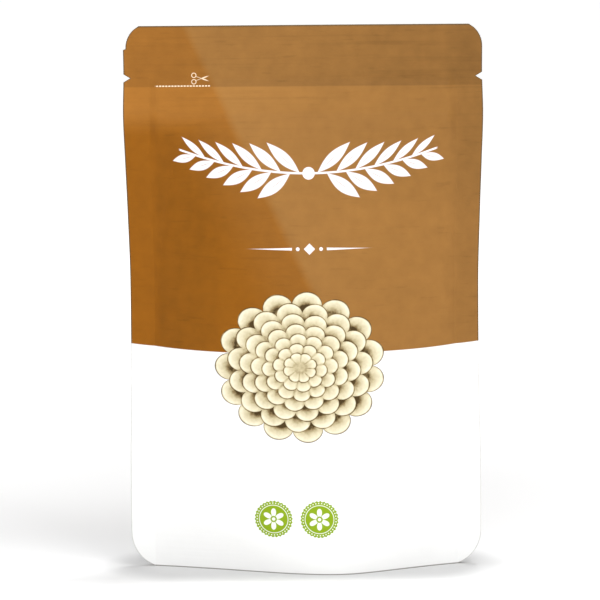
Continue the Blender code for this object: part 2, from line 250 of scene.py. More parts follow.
def soft_lamp(name, place, aim, size, glow):
    """A lamp with a flat oblong face of even glow, in Blender's watts for its size."""
    lamp = bpy.data.objects.new(name, bpy.data.lights.new(name, "AREA"))
    lamp.data.shape = "RECTANGLE"
    lamp.data.size, lamp.data.size_y = size
    lamp.data.energy = glow * math.pi * size[0] * size[1]
    lamp.location = place
    lamp.rotation_euler = (Vector(place) - Vector(aim)).to_track_quat("Z", "Y").to_euler()
    lamp.visible_camera = False
    bpy.context.scene.collection.objects.link(lamp)


back = Vector((0, -math.cos(CAMERA_RISE), math.sin(CAMERA_RISE)))
camera = bpy.data.objects.new("camera", bpy.data.cameras.new("camera"))
camera.data.sensor_width = CAMERA_SENSOR
camera.data.lens = CAMERA_LENS
camera.data.shift_x = -FRAME_MOVED[0] / PICTURE_PIXELS
camera.data.shift_y = -FRAME_MOVED[1] / PICTURE_PIXELS
camera.data.clip_start = NEAREST_SEEN
camera.matrix_world = (
    Matrix.Translation(CAMERA_AIM + back * CAMERA_DISTANCE)
    @ back.to_track_quat("Z", "Y").to_matrix().to_4x4()
    @ Matrix.Rotation(-CAMERA_LEAN, 4, "Z")
)
bpy.context.scene.collection.objects.link(camera)
bpy.context.scene.camera = camera
bpy.context.scene.view_settings.view_transform = "Standard"

backdrop = new_piece(
    "paper_bowl", paper_bowl(), grid_faces(PAPER_POINTS, PAPER_POINTS), white_paper()
)
soft_lamp("front lamp", place=(0.42, -0.55, 1.2), aim=(0, 0, 0.1), size=(0.5, 0.5), glow=7.2)
soft_lamp("rear lamp", place=(0.22, 0.4, 1.3), aim=(0, 0, 0), size=(0.4, 0.4), glow=12)
soft_lamp("broad lamp", place=(-0.35, -2.3, 1.5), aim=(0, 0, 0.1), size=(2.4, 1.6), glow=1.95)
world = bpy.data.worlds.new("studio walls")
bpy.context.scene.world = world
world.use_nodes = True
walls = world.node_tree.nodes["Background"]
walls.inputs["Color"].default_value = grey(1)
walls.inputs["Strength"].default_value = WALL_GLOW


# The bottom gusset
# One web of laminate film, printed plain white, folded upwards between the two panels and heat
# sealed to them along a curve, so that it opens into an oval base when the pouch fills. The
# stations give half of the bag's width and half of its free depth by height, in millimetres.

HEIGHT = 198 * MM
FILM = 0.48 * MM
GAP = 0.02 * MM
SIDE_SEAL = 9 * MM
EDGE = np.array(
    [(0, 64.3), (40, 64.1), (75, 63.4), (105, 63.3), (130, 63.9), (150, 64.6), (166, 65.1),
     (182, 64.7), (198, 64.8)]
) * MM
BELLY = np.array(
    [(0, 18.6), (14, 19.3), (34, 19.9), (54, 19.8), (82, 18.2), (110, 14.4), (134, 9.9),
     (152, 5.5), (163, 2.6), (167.5, 1.35), (176, 1.35), (177, 0.75), (180, 0.35),
     (184.5, 0), (198, 0)]
) * MM
ROUNDNESS = np.array([(0, 0.36), (20 * MM, 0.55), (45 * MM, 1.0), (80 * MM, 1.6), (HEIGHT, 2.0)])
FLARE, FLARE_FADES = 0.32, 45 * MM  # the belly is flatter at its sides, up to this height
CREST = 10 * MM  # the bottom rim bows out most this far right of the middle
CREST_FADES = 85 * MM
ZIP_SHOULDER = 4 * MM
ZIP_BLEND = (150 * MM, 167 * MM)
TOP_CORNER, TOP_CORNER_DROP = 9 * MM, 8 * MM
BOTTOM_CORNER, BOTTOM_CORNER_RISE = 13.3 * MM, 12.6 * MM
CORNER_STEP, CORNER_STEP_HEIGHT = 0.9 * MM, 189.5 * MM
NOTCH_HEIGHT, NOTCH_HALF_WIDTH, NOTCH_DEPTH = 179.2 * MM, 1.45 * MM, 2.4 * MM
GUSSET_RISE = 28 * MM
SEAL_AT_MIDDLE, SEAL_CURVE = 8 * MM, 2.2

# Over their seal the gusset's webs keep their room for the hold's height and lose it in the
# taper's. The side seals press both shorter, over the first millimetres of their width.
SEAL_HOLD, SEAL_TAPER = 2 * MM, 4 * MM
SIDE_HOLD, SIDE_TAPER = 0.5 * MM, 0.7 * MM
SIDE_PRESS = 3 * MM

# The gusset sags between its seals at mid width and is creased at its ends. Each pair of
# places is in shares of the half width: the keel rises between the first two, and the sag's
# section turns into the crease's between the others.
FLOOR_CLEARANCE = 1.0 * MM
KEEL_FLAT, KEEL_HIGH = 0.08, 0.86
SAG_ENDS, CREASE_STARTS = 0.2, 0.6
SAG_SQUARENESS, CREASE_SQUARENESS = 2.6, 1.2
CORNER_ANGLES = np.linspace(0.33, 1.25, 7)
LEAF_SHARES = np.append([0, 0.04], np.linspace(0.1, 1, 15))
GUSSET_COLUMNS, SPAN_ROWS = 121, 31
LOWEST_RAISED = 0.5 * MM  # the film's depth is the same from the floor to here
FRONT_SEED, BACK_SEED = 21, 33

# The film's relief. Waves are a height, a count, and the longest and the shortest wave.
BROAD_WAVES = (0.42 * MM, 9, 80 * MM, 26 * MM)
WAVES_FADE = 14 * MM  # within this distance of the side seals and of the floor
WAVES_TOP, WAVES_TOP_FADE = 163 * MM, 16 * MM
PUCKERS = (0.30 * MM, 7, 22 * MM, 7 * MM)
PUCKERS_GROW, PUCKERS_DIE = 1.5 * MM, 5 * MM  # inwards from the side seals
PUCKERS_FOOT, PUCKERS_TOP, PUCKERS_FADE = 30 * MM, 160 * MM, 20 * MM
ZIP_RIB, ZIP_RIB_HEIGHT, ZIP_RIB_WIDTH = 0.10 * MM, 171.75 * MM, 0.8 * MM
ZIP_FLANGE, ZIP_FLANGE_HEIGHT, ZIP_FLANGE_WIDTH = 0.08 * MM, 168.6 * MM, 0.5 * MM
ZIP_FADES, FOLDS_FADE = 5 * MM, 3 * MM  # towards the side seals

# Soft folds of the film: a line's two ends across and up, the height, and the half width, in
# millimetres. The first lies where the gusset's seal ends at the right.
CREASES = [
    ((50, 12, 54, 22), -0.7, 5.0),
    ((44, 8, 52, 14), 0.35, 2.5),
    ((9, 44, -1, 30), -0.3, 2.4),
    ((24, 60, 38, 40), -0.35, 5.0),
    ((-50, 66, -34, 62), -0.25, 2.2),
    ((-47, 150, -52, 112), -0.25, 1.8),
    ((46, 156, 51, 120), -0.25, 2.0),
    ((49, 112, 52, 92), 0.25, 1.6),
    ((-30, 163, 10, 161), -0.12, 1.0),
    ((18, 164, 52, 160), -0.2, 1.2),
    ((30, 158, 50, 155), 0.15, 1.2),
]


def linear(*shades):
    """A screen colour of 0 to 255 as the linear colour that shaders take."""
    shades = np.array(shades) / 255
    straight = np.where(shades > 0.04045, ((shades + 0.055) / 1.055) ** 2.4, shades / 12.92)
    return (*straight.tolist(), 1.0)


def through(stations, at):
    """A smooth curve through stations of (place, value). Between two of them it is a cubic,
    and its slope at each is the harmonic mean of its neighbours' slopes, or level where those
    point opposite ways."""
    places, values = stations.T
    slopes = np.diff(values) / np.diff(places)
    before, after = slopes[:-1], slopes[1:]
    same_way = before * after > 0
    harmonic = 2 * before * after / np.where(same_way, before + after, 1)
    tangents = np.concatenate([slopes[:1], np.where(same_way, harmonic, 0), slopes[-1:]])
    at = np.clip(at, places[0], places[-1])
    i = np.clip(np.searchsorted(places, at, side="right") - 1, 0, len(places) - 2)
    span = places[i + 1] - places[i]
    t = (at - places[i]) / span
    return (
        (1 + 2 * t) * (1 - t) ** 2 * values[i]
        + t * (1 - t) ** 2 * span * tangents[i]
        + t * t * (3 - 2 * t) * values[i + 1]
        + t * t * (t - 1) * span * tangents[i + 1]
    )


def ease(t):
    """0 to 1 with level ends."""
    t = np.clip(t, 0, 1)
    return t * t * (3 - 2 * t)


def seal_edge(z):
    """Distance of the side seals' inner edge from the middle."""
    return through(EDGE, z) - SIDE_SEAL


def cut_edge(z, side):
    """Distance of the cut edge from the middle, less the circles' bite at each corner, the
    left corner's step and a V for the tear notch."""
    above = np.clip(z - (HEIGHT - TOP_CORNER_DROP), 0, None)
    below = np.clip(BOTTOM_CORNER_RISE - z, 0, None)
    notch = np.clip(1 - abs(z - NOTCH_HEIGHT) / NOTCH_HALF_WIDTH, 0, None)
    return (
        through(EDGE, z)
        - CORNER_STEP * ((side < 0) & (z > CORNER_STEP_HEIGHT))
        - (TOP_CORNER - np.sqrt(TOP_CORNER**2 - above**2))
        - (BOTTOM_CORNER - np.sqrt(BOTTOM_CORNER**2 - below**2))
        - NOTCH_DEPTH * notch
    )


def gusset_seal(x):
    """Height of the curved seal: low at mid width and at the gusset's fold at the sides."""
    share = np.clip(abs(x) / seal_edge(GUSSET_RISE), 0, 1)
    return SEAL_AT_MIDDLE + (GUSSET_RISE - SEAL_AT_MIDDLE) * share**SEAL_CURVE


def free_half_depth(x, z):
    """Half of the distance between the panels: the film's gap, room for the gusset's webs up
    to their seal, and a belly whose section is a hyperbola that grows rounder with height
    and turns into a flat band beside the zip."""
    edge = seal_edge(z)
    press = ease((abs(x) - edge) / SIDE_PRESS)
    hold = SEAL_HOLD + (SIDE_HOLD - SEAL_HOLD) * press
    taper = SEAL_TAPER + (SIDE_TAPER - SEAL_TAPER) * press
    webs = (FILM + GAP) * ease(1 - (z - gusset_seal(x) - hold) / taper)
    crest = CREST * ease(1 - z / CREST_FADES)
    across = np.clip(abs(x - crest) / np.where(x > crest, edge - crest, edge + crest), 0, 1)
    roundness = through(ROUNDNESS, z)
    fall = (np.hypot(across, roundness) - roundness) / (np.hypot(1, roundness) - roundness)
    belly = (1 - fall) * (1 - FLARE * ease(1 - z / FLARE_FADES) * fall)
    band = np.clip((edge - abs(x)) / ZIP_SHOULDER, 0, 1)
    flat = ease((z - ZIP_BLEND[0]) / (ZIP_BLEND[1] - ZIP_BLEND[0]))
    swell = (1 - flat) * belly + flat * ease(band)
    return GAP / 2 + webs + through(BELLY, z) * swell


def waves(x, z, sizes, seed):
    """The mean of some sine waves over the film, each with its own seeded direction, length
    and start, times their height."""
    height, count, longest, shortest = sizes
    draw = np.random.default_rng(seed)
    angle, start = draw.uniform(0, 2 * math.pi, (2, count))
    length = np.exp(draw.uniform(math.log(shortest), math.log(longest), count))
    turns = (
        np.multiply.outer(x, np.cos(angle) / length)
        + np.multiply.outer(z, np.sin(angle) / length)
    )
    return height * np.sin(2 * math.pi * turns + start).mean(axis=-1)


def off_line(x, z, x0, z0, x1, z1):
    """Distance of places from a line between two ends, measured to the nearer end beyond
    them."""
    run, rise = x1 - x0, z1 - z0
    along = np.clip(((x - x0) * run + (z - z0) * rise) / (run**2 + rise**2), 0, 1)
    return np.hypot(x - x0 - along * run, z - z0 - along * rise)


def ridge(offset, width):
    """1 on a line, and down to nothing on both sides of it as a bell does."""
    return np.exp(-((offset / width) ** 2))


def relief(x, z, seed):
    """How far the film stands off the plain shape: broad waves on the belly, short puckers
    that die away from the side seals, the zip's rib and flange, and soft folds."""
    inside = np.clip(seal_edge(z) - abs(x), 0, None)
    on_belly = ease(inside / WAVES_FADE) * ease(z / WAVES_FADE)
    on_belly *= ease((WAVES_TOP - z) / WAVES_TOP_FADE)
    broad = on_belly * waves(x, z, BROAD_WAVES, seed)
    by_seal = ease(inside / PUCKERS_GROW) * np.exp(-inside / PUCKERS_DIE)
    by_seal *= ease((PUCKERS_TOP - z) / PUCKERS_FADE) * ease((z - PUCKERS_FOOT) / PUCKERS_FADE)
    puckers = by_seal * waves(z, x, PUCKERS, seed + 1)
    rib = ZIP_RIB * ridge(z - ZIP_RIB_HEIGHT, ZIP_RIB_WIDTH)
    flange = ZIP_FLANGE * ridge(z - ZIP_FLANGE_HEIGHT, ZIP_FLANGE_WIDTH)
    folds = sum(
        height * MM * ridge(off_line(x / MM, z / MM, *ends), width)
        for ends, height, width in CREASES
    )
    over_zip = ease(inside / ZIP_FADES) * (rib + flange)
    return broad + puckers + over_zip + ease(inside / FOLDS_FADE) * folds


def gusset_height(x, across):
    """Height of the gusset's underside at a share of its half depth: the seal's height at the
    sides of the section, and at its middle the keel, which the kernels press down at mid
    width and which rises to the fold at the side seals."""
    share = np.clip(abs(x) / seal_edge(GUSSET_RISE), 0, 1)
    rising = ease((share - KEEL_FLAT) / (KEEL_HIGH - KEEL_FLAT))
    keel = FLOOR_CLEARANCE + (GUSSET_RISE + FILM - FLOOR_CLEARANCE) * rising
    sharp = ease((share - SAG_ENDS) / (CREASE_STARTS - SAG_ENDS))
    squareness = SAG_SQUARENESS + (CREASE_SQUARENESS - SAG_SQUARENESS) * sharp
    seal = gusset_seal(x)
    return seal + (keel - seal) * (1 - abs(across) ** squareness)


def gusset_grid():
    """Points of the gusset's underside: columns across the pouch, and along each column the
    front leaf, the span over the keel, and the back leaf. The leaves take on the relief of
    the panels that they are sealed to, and outside the side seals' inner edge they start on
    the round corner's arc."""
    arc = through(EDGE, 0.0) - BOTTOM_CORNER + BOTTOM_CORNER * np.sin(CORNER_ANGLES)
    arc_start = BOTTOM_CORNER_RISE - BOTTOM_CORNER * np.cos(CORNER_ANGLES)
    outer = np.append(arc, cut_edge(BOTTOM_CORNER_RISE, 1))
    start = np.append(np.clip(arc_start, 0, None), BOTTOM_CORNER_RISE)
    inner = np.linspace(-1, 1, GUSSET_COLUMNS) * seal_edge(0.0)
    x = np.concatenate([-outer[::-1], inner, outer])[::-1]
    foot = np.concatenate([start[::-1], inner * 0, start])[::-1]
    height = foot + (gusset_seal(x) - foot) * LEAF_SHARES[:, None]
    depth = free_half_depth(x, np.clip(height, LOWEST_RAISED, None)) - GAP - FILM
    front = depth + relief(x, height, FRONT_SEED)
    rear = depth + relief(x, height, BACK_SEED)
    across = np.sin(np.linspace(-1, 1, SPAN_ROWS + 2)[1:-1] * math.pi / 2)[:, None]
    span = across * np.where(across < 0, front[-1], rear[-1])
    y = np.concatenate([-front, span, rear[::-1]])
    z = np.concatenate([height, gusset_height(x, across), height[::-1]])
    return np.stack([np.broadcast_to(x, y.shape), y, z], axis=-1)


def cut_film():
    """The laminate's cut edge, where its clear, printed and white layers show as a grey that
    changes a little along it."""
    cut = Finish("cut edge of the laminate", roughness=0.5, specular=0.3)
    layers = cut.noise(cut.place(), scale=900, detail=2)
    cut.feed("Base Color", cut.mixed(layers, linear(158, 151, 141), linear(204, 199, 190)))
    return cut.material


def white_film():
    """The gusset's outer face: white ink with a satin varnish, a little crumpled."""
    white = Finish("white film", roughness=0.42, specular=0.15)
    grain = white.noise(white.place(), scale=700, detail=3)
    crumple = white.noise(white.place(), scale=45, detail=2)
    white.feed("Base Color", white.mixed(crumple, linear(238, 238, 236), linear(247, 247, 246)))
    white.feed("Roughness", 0.36 + grain * 0.12)
    white.bump(crumple * 0.5 + grain * 0.02)
    return white.material


def web(name, node, points, material):
    """A web of film in place of a node. Its points are its inner face, and it gets the film's
    thickness on the side that its faces point to, with a cut edge all round."""
    piece = new_piece(name, points, grid_faces(*points.shape[:2]), material)
    piece.data.materials.append(cut_edges)
    film = piece.modifiers.new("film", "SOLIDIFY")
    film.thickness = FILM
    film.offset = 1
    film.material_offset_rim = 1
    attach(piece, "root")
    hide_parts(node)
    return piece


cut_edges = cut_film()
web("gusset_film", "bottom_gusset", gusset_grid(), white_film())


# The front panel
# One web of satin laminate, printed brown over white, with a press of the zip and of the
# curved bottom seal in it and soft waves where the belly meets the side seals. The print is a
# cream dahlia with a divider and a white sprig over it, two green rosettes and a tear line.

# A row of points passes through each mark, and the others lie at most the pitch apart. Both
# are in millimetres.
ROW_MARKS = [0, 0.4, 1.2, 2.4, 4.6, 8.2, 12.6, 28, 28.5, 28.85, 29.2, 60, 110, 150, 167.5, 170.8,
             172.7, 176, 176.5, 177.75, 179.2, 180.65, 184.5, 187, 189.5, 189.7, 192.5, 195,
             196.8, 198]
ROW_PITCH = 1.5
PANEL_COLUMNS = 91
COLUMN_SQUEEZE = 0.96 * math.pi / 2
SEAL_SHARES = np.array([0.08, 0.25, 0.45, 0.65, 0.82, 0.93, 1.0])
LEAN, LEAN_WAVE, LEAN_WAVE_LENGTH, LEAN_WAVE_START = 0.5 * MM, 0.35 * MM, 19 * MM, 0.6

# The print's own sizes, with every length in millimetres.
HALF_WIDTH = 63
INK_EDGE = 0.16
BORDER, BORDER_RISE = 80.9, 1.7  # the brown's lower edge at mid width, and its rise at the sides
BORDER_SQUARENESS = 6
HEADER_FOOT, HEADER_EDGE = 176, 0.2
# The painted sheen: the brown is paler right of a slanting line, and paler under the zip as
# painted light.
SHEEN_HEIGHT, SHEEN_LEFT, SHEEN_LEAN, SHEEN_EDGE = 126, 9.0, 0.4835, 3.5
DEEP_BROWN, PALE_BROWN = (147, 89, 16), (152, 107, 54)
DARKEST, LIGHTEST = 0.6, 1.5
PALE_UNDER_ZIP, PALE_HEIGHTS = 0.45, (157, 168)
PALE_BY_SHEEN, PALE_REACH = 0.3, 27
BARE_SHEEN, BARE_PALE = 0.5, 0.6
CHALK, GUIDE_CREAM = linear(246, 240, 243), linear(250, 226, 196)
LEAF_GREEN, FLOWER_WHITE = linear(142, 171, 31), linear(246, 250, 238)

# The crushed edge's dark line: its weight on the brown, how much less it weighs on the white,
# and how much of that it has back at the foot as a painted shadow where the pouch stands.
CRUSHED_WIDTH, CRUSHED_FADES = 0.55, 0.35
CRUSHED_WEIGHT, LESS_ON_WHITE, EDGE_SHADOW_AT_FOOT = 0.75, 0.5, 0.42
FOOT_SHADOW_HEIGHT = 3

SPRIG_CENTRE, SPRIG_HALF_WIDTH, SPRIG_RISE = (1.8, 145.0), 47.0, 8.6
STEM_HALF_WIDTH, BUD_RADIUS = 0.45, 2.3
LEAVES, LEAF_PITCH = 6, 6.8
LEAF_ROOTS = [(1, 3.0), (-1, 6.4)]  # the first root over the stem, and the first under it
LEAF_TILT, LEAF_TILT_STEP = 40, 2  # in degrees
LEAF_LENGTH, LEAF_WIDTH, LEAF_SHRINK = 16.0, 2.3, 0.072
MIDRIB_SHARE, MIDRIB_WIDTH = 0.8, 0.2

DAHLIA_CENTRE, DAHLIA_RADIUS, DAHLIA_SQUASH = (-1.8, 75.9), 31.0, 0.885
DAHLIA_RINGS = [(1.0, 15), (0.86, 15), (0.72, 14), (0.585, 13), (0.455, 12), (0.33, 10), (0.21, 8)]
RING_TURN, RING_REACH = 1.1, 0.19
PETAL_DIP, PETAL_BLUNTNESS = 0.16, 0.55
FOLD_TONE, FOLD_WIDTH = 0.4, 0.55
RIM_LINE = (0.3, 0.9)
HEART_RADIUS, HEART_FADES, HEART_TONE = 0.1, 1.2, 0.25
PETAL_SHADES = [
    (0.0, linear(74, 58, 32)), (0.12, linear(140, 120, 82)), (0.35, linear(204, 191, 154)),
    (0.7, linear(232, 223, 193)), (1.0, linear(246, 241, 222)),
]

ROSETTE_CENTRES = [(-11.8, 20.3), (4.8, 20.5)]
ROSETTE_RADIUS, SCALLOPS, SCALLOP_DEPTH = 6.8, 30, 0.18
BEADS, BEADS_RADIUS, BEAD_HALF_HEIGHT, BEAD_EDGE, BEAD_SIDES = 36, 6.0, 0.26, 0.1, (0.1, 0.5)
RING_RADIUS, RING_HALF_WIDTH = 5.2, 0.2
FLOWER_RADIUS, FLOWER_PETALS, FLOWER_BLUNTNESS = 4.1, 6, 0.6
FLOWER_HOLE, EYE_RADIUS = (1.1, 1.3), 0.7

DIVIDER_CENTRE, DIVIDER_HALF_LENGTH, DIVIDER_HALF_HEIGHT = (1.9, 118.2), 24, 0.55
DIVIDER_LOZENGE, DIVIDER_DOT, DIVIDER_DOT_OUT, DIVIDER_STROKE_OUT = 2.1, 0.75, 4.2, 6.2

TEAR_LINE = (-53.4, -33.4, 176.35)  # its two ends across, and its height
DASH_PITCH, DASH_HALF_HEIGHT, DASH_SIDES = 1.1, 0.3, (-0.8, -0.4)
SCISSORS_HANDLES, SCISSORS_TILT = (-38.7, 179.0), 20
FINGER_BACK, FINGER_ASIDE, FINGER_RADIUS, FINGER_HALF_WIDTH = 0.6, 1.15, 0.8, 0.2
ARM_ASIDE, ARM_LENGTH, ARM_WIDTH = 0.8, 2.4, 0.3
BLADE_START, BLADE_LENGTH, BLADE_WIDTH = 1.2, 4.4, 0.36


def rows_through(marks, pitch):
    """Heights that pass through each mark, with even steps of at most the pitch between."""
    runs = [
        np.linspace(low, high, max(math.ceil((high - low) / pitch), 1), endpoint=False)
        for low, high in zip(marks, marks[1:])
    ]
    return np.concatenate([*runs, marks[-1:]]) * MM


def sway(x, z):
    """The sealed header leans and waves a little, both panels together."""
    up = ease((z - HEADER_FOOT * MM) / (HEIGHT - HEADER_FOOT * MM))
    return up * (LEAN_WAVE * np.sin(x / LEAN_WAVE_LENGTH + LEAN_WAVE_START) - LEAN)


def panel_grid(facing, seed):
    """Points of a panel's inner face: columns squeezed between the seals' inner edges, then
    out to the cut edges, and the depth from the shape of the bag and its relief."""
    z = rows_through(ROW_MARKS, ROW_PITCH)[:, None]
    inner = np.sin(np.linspace(-1, 1, PANEL_COLUMNS) * COLUMN_SQUEEZE) / math.sin(COLUMN_SQUEEZE)
    left = -(seal_edge(z) + SEAL_SHARES[::-1] * (cut_edge(z, -1) - seal_edge(z)))
    right = seal_edge(z) + SEAL_SHARES * (cut_edge(z, 1) - seal_edge(z))
    x = np.concatenate([left, inner * seal_edge(z), right], axis=1)
    z = np.broadcast_to(z, x.shape)
    depth = free_half_depth(x, np.clip(z, LOWEST_RAISED, None))
    y = facing * (depth + relief(x, z, seed)) + sway(x, z)
    points = np.stack([x, y, z], axis=-1)
    return points if facing < 0 else points[:, ::-1]


def to_cut_edge(points):
    """Distance of each point from the film's cut edge, across and to the top or bottom."""
    x, z = points[..., 0], points[..., 2]
    side = np.where(x < 0, cut_edge(z, -1), cut_edge(z, 1)) - abs(x)
    return np.minimum(np.minimum(side, HEIGHT - z), z)


def turned(across, up, centre, degrees):
    """Coordinates along and across a line through a centre, turned up from level."""
    cosine, sine = math.cos(math.radians(degrees)), math.sin(math.radians(degrees))
    right, above = across - centre[0], up - centre[1]
    return right * cosine + above * sine, above * cosine - right * sine


def round_about(ink, across, up, centre):
    """Distance and angle of a place from a centre."""
    right, above = across - centre[0], up - centre[1]
    distance = (right * right + above * above) ** 0.5
    return distance, ink.node("ShaderNodeMath", {"operation": "ARCTAN2"}, {0: above, 1: right})


def leaf(ink, along, aside, length, width):
    """Mask of a pointed leaf: the distance aside stays under the width times the sine of half
    a turn over the leaf's length."""
    share = (along / length).smaller(1).larger(0)
    return ink.step((share * math.pi).sine() * width - abs(aside), 0, 2 * INK_EDGE)


def stroke(ink, along, aside, length, width):
    """Mask of a straight stroke with square ends."""
    side = ink.step(width / 2 - abs(aside), 0, INK_EDGE)
    return side * ink.step(along, -INK_EDGE, 0) * ink.step(length - along, -INK_EDGE, 0)


def sprig(ink, across, up):
    """Mask of two mirrored branches: leaves in turn above and below a stem that rises to its
    end with the square of the distance, each with its midrib left open, and a round bud
    between the branches."""
    out = abs(across - SPRIG_CENTRE[0])
    above = up - SPRIG_CENTRE[1] - (out / SPRIG_HALF_WIDTH) ** 2 * SPRIG_RISE
    mask = ink.step(STEM_HALF_WIDTH - abs(above), 0, INK_EDGE)
    mask = mask * ink.step(SPRIG_HALF_WIDTH - out, 0, 1)
    for place in range(LEAVES):
        smaller = 1 - LEAF_SHRINK * place
        length = LEAF_LENGTH * smaller
        for side, first_root in LEAF_ROOTS:
            root = (first_root + LEAF_PITCH * place, 0)
            tilt = LEAF_TILT - LEAF_TILT_STEP * place
            along, aside = turned(out, above * side, root, tilt)
            blade = leaf(ink, along, aside, length, LEAF_WIDTH * smaller)
            midrib = leaf(ink, along, aside, length * MIDRIB_SHARE, MIDRIB_WIDTH)
            mask = mask.larger(blade * (1 - midrib))
    distance, _ = round_about(ink, across, up, SPRIG_CENTRE)
    return mask.larger(ink.step(BUD_RADIUS - distance, 0, INK_EDGE))


def dahlia(ink, across, up):
    """Mask and tone of a dahlia: rings of petals laid over each other from the outside in.
    The edge of a ring is a circle that dips between its petals. Its tone is dark in a thin
    line along that edge, lightest at the petals' tips, and falls towards their roots and the
    folds between them."""
    flat_up = (up - DAHLIA_CENTRE[1]) / DAHLIA_SQUASH + DAHLIA_CENTRE[1]
    distance, angle = round_about(ink, across, flat_up, DAHLIA_CENTRE)
    mask, tone = None, None
    for place, (share, petals) in enumerate(DAHLIA_RINGS):
        lobe = abs((angle * (petals / 2) + RING_TURN * place).sine())
        outline = 1 - PETAL_DIP + PETAL_DIP * lobe**PETAL_BLUNTNESS
        inward = DAHLIA_RADIUS * share * outline - distance
        inside = ink.step(inward, 0, 2 * INK_EDGE)
        own = 1 - (inward / (DAHLIA_RADIUS * RING_REACH)).smaller(1)
        own = own * (FOLD_TONE + (1 - FOLD_TONE) * ink.step(lobe, 0, FOLD_WIDTH))
        own = own * ink.step(inward, *RIM_LINE)
        mask = inside if mask is None else mask.larger(inside)
        tone = own if tone is None else tone + inside * (own - tone)
    heart = ink.step(DAHLIA_RADIUS * HEART_RADIUS - distance, 0, HEART_FADES)
    return mask, tone + heart * (HEART_TONE - tone)


def rosette(ink, across, up, centre):
    """Masks of a small round mark: a disc with a scalloped edge, and on it a ring of beads, a
    thin ring and a six-petalled flower."""
    distance, angle = round_about(ink, across, up, centre)
    scallop = SCALLOP_DEPTH * (angle * SCALLOPS).sine()
    disc = ink.step(ROSETTE_RADIUS + scallop - distance, 0, INK_EDGE)
    beads = ink.step((angle * BEADS).sine(), *BEAD_SIDES)
    beads = beads * ink.step(BEAD_HALF_HEIGHT - abs(distance - BEADS_RADIUS), 0, BEAD_EDGE)
    ring = ink.step(RING_HALF_WIDTH - abs(distance - RING_RADIUS), 0, INK_EDGE)
    petal = abs((angle * (FLOWER_PETALS / 2)).sine()) ** FLOWER_BLUNTNESS * FLOWER_RADIUS
    flower = ink.step(petal - distance, 0, INK_EDGE) * ink.step(distance, *FLOWER_HOLE)
    eye = ink.step(EYE_RADIUS - distance, 0, INK_EDGE)
    return disc, ring.larger(beads).larger(flower).larger(eye)


def divider(ink, across, up):
    """Mask of a level ornament: two strokes that thin towards their ends, with a lozenge
    between them and a dot at each side of it."""
    out = abs(across - DIVIDER_CENTRE[0])
    rise = abs(up - DIVIDER_CENTRE[1])
    lozenge = ink.step(DIVIDER_LOZENGE - out - rise, 0, INK_EDGE)
    distance, _ = round_about(ink, out, rise, (DIVIDER_DOT_OUT, 0))
    dot = ink.step(DIVIDER_DOT - distance, 0, INK_EDGE)
    to_end = (DIVIDER_HALF_LENGTH - out) / (DIVIDER_HALF_LENGTH - DIVIDER_STROKE_OUT)
    line = ink.step(to_end * DIVIDER_HALF_HEIGHT - rise, 0, INK_EDGE)
    line = line * ink.step(out, DIVIDER_STROKE_OUT, DIVIDER_STROKE_OUT + INK_EDGE)
    return lozenge.larger(dot).larger(line)


def tear_guide(ink, across, up):
    """Mask of a dashed line with open scissors over it: two rings for the fingers, and two
    arms that cross and end as blades."""
    left, right, height = TEAR_LINE
    dash = ink.step((across * (2 * math.pi / DASH_PITCH)).sine(), *DASH_SIDES)
    mask = ink.step(DASH_HALF_HEIGHT - abs(up - height), 0, INK_EDGE) * dash
    mask = mask * ink.step(across, left, left + INK_EDGE) * ink.step(right - across, 0, INK_EDGE)
    middle, level = SCISSORS_HANDLES
    for side in (1, -1):
        finger = (middle - FINGER_BACK, level + FINGER_ASIDE * side)
        distance, _ = round_about(ink, across, up, finger)
        ring = ink.step(FINGER_HALF_WIDTH - abs(distance - FINGER_RADIUS), 0, INK_EDGE)
        handle = (middle, level + ARM_ASIDE * side)
        along, aside = turned(across, up, handle, -SCISSORS_TILT * side)
        arm = stroke(ink, along, aside, ARM_LENGTH, ARM_WIDTH)
        blade = leaf(ink, along - BLADE_START, aside, BLADE_LENGTH, BLADE_WIDTH)
        mask = mask.larger(ring).larger(arm).larger(blade)
    return mask


def film_noise(ink):
    """The film's fine grain, broad clouds and mottle, and in the ink short level flecks and
    long level brush lines."""
    at = ink.place()
    return {
        "grain": ink.noise(at, scale=900, detail=3),
        "cloud": ink.noise(at, scale=42, detail=3),
        "mottle": ink.noise(at, scale=210, detail=4),
        "fleck": ink.noise(ink.stretched(at, (90, 90, 700)), scale=1, detail=3),
        "brush": ink.noise(ink.stretched(at, (14, 14, 620)), scale=1, detail=3),
    }


